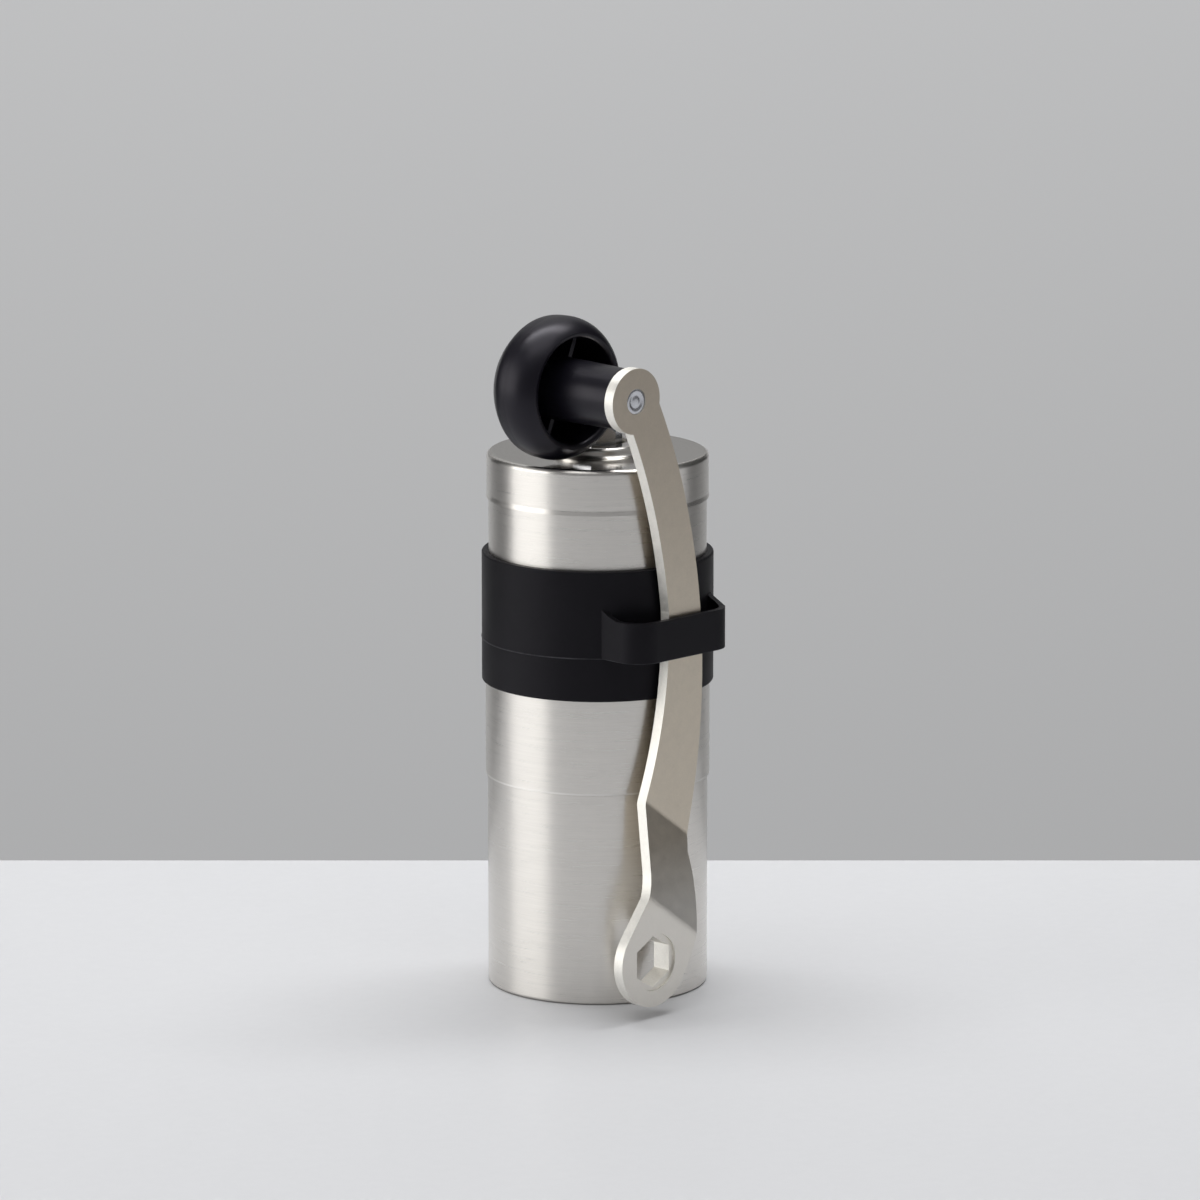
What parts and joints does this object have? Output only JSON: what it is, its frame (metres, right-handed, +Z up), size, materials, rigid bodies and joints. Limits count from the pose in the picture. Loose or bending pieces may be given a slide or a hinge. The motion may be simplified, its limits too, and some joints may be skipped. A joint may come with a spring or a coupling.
{
  "type": "hand crank coffee grinder",
  "caption": "Slim cylindrical steel hand coffee grinder with a catch cup, conical burrs, a lid, and a curved crank with a round knob held in the loop of a silicone band.",
  "frame": {"origin": "centre of the flat base of the catch cup", "axes": "+Z up along the body axis; -Y is the side the stowed crank hangs on; +X to the right when looking at the crank"},
  "size_m": [0.0552, 0.0564, 0.1444],
  "materials": {
    "brushed_steel_body": "stainless sheet brushed round the body",
    "black_silicone": "matte moulded silicone",
    "frame_plastic": "moulded, fine texture",
    "liner_plastic": "moulded, satin",
    "bush_plastic": "natural acetal",
    "burr_ceramic": "fired, unglazed",
    "bright_steel": "turned and polished",
    "nut_brass": "machined",
    "nickel_crank": "pressed plate, satin nickel",
    "knob_plastic": "moulded, satin"
  },
  "bodies": {
    "cup": {"catch_cup": "brushed_steel_body"},
    "body": {"body_tube": "brushed_steel_body", "silicone_band": "black_silicone", "bearing_spider": "frame_plastic", "upper_bush": "bush_plastic", "burr_housing": "frame_plastic", "housing_screws": "bright_steel", "retaining_ring": "frame_plastic", "ring_burr": "burr_ceramic"},
    "lid": {"lid_shell": "brushed_steel_body", "lid_liner": "liner_plastic", "lid_bush": "bush_plastic"},
    "crank": {"crank_arm": "nickel_crank", "hex_socket": "nickel_crank", "knob_axle": "bright_steel", "knob_washer": "bright_steel"},
    "knob": {"knob": "knob_plastic"},
    "shaft": {"drive_shaft": "bright_steel", "thrust_washer": "bright_steel", "shaft_clip": "bright_steel", "spring_washer": "bright_steel", "burr_spring": "bright_steel"},
    "burr": {"cone_burr": "burr_ceramic", "burr_carrier": "frame_plastic"},
    "adjuster": {"adjuster_dial": "frame_plastic", "adjuster_nut": "nut_brass"}
  },
  "joints": [
    {"name": "body_lift", "type": "slide", "parent": "cup", "child": "body", "axis": [0, 0, 1], "range_m": [0, 0.025]},
    {"name": "lid_lift", "type": "slide", "parent": "body", "child": "lid", "axis": [0, 0, 1], "range_m": [0, 0.012]},
    {"name": "crank_draw", "type": "hinge", "parent": "lid", "child": "crank", "pos_m": [-0.13161, -0.0258, 0.0707], "axis": [0, -1, 0], "range_deg": [0, 6.5]},
    {"name": "knob_spin", "type": "hinge", "parent": "crank", "child": "knob", "pos_m": [-0.0158, -0.0246, 0.1294], "axis": [0, -1, 0], "continuous": true},
    {"name": "shaft_spin", "type": "hinge", "parent": "body", "child": "shaft", "pos_m": [0, 0, 0.08], "axis": [0, 0, 1], "continuous": true},
    {"name": "burr_slide", "type": "slide", "parent": "shaft", "child": "burr", "axis": [0, 0, 1], "range_m": [-0.00025, 0.001], "deforming": ["burr_spring"]},
    {"name": "adjust_turn", "type": "hinge", "parent": "burr", "child": "adjuster", "pos_m": [0, 0, 0.055], "axis": [0, 0, 1], "range_deg": [-90, 360]}
  ],
  "couplings": [
    {"joint": "adjust_turn", "follows": "burr_slide", "rad_per_m": 6283.2}
  ]
}
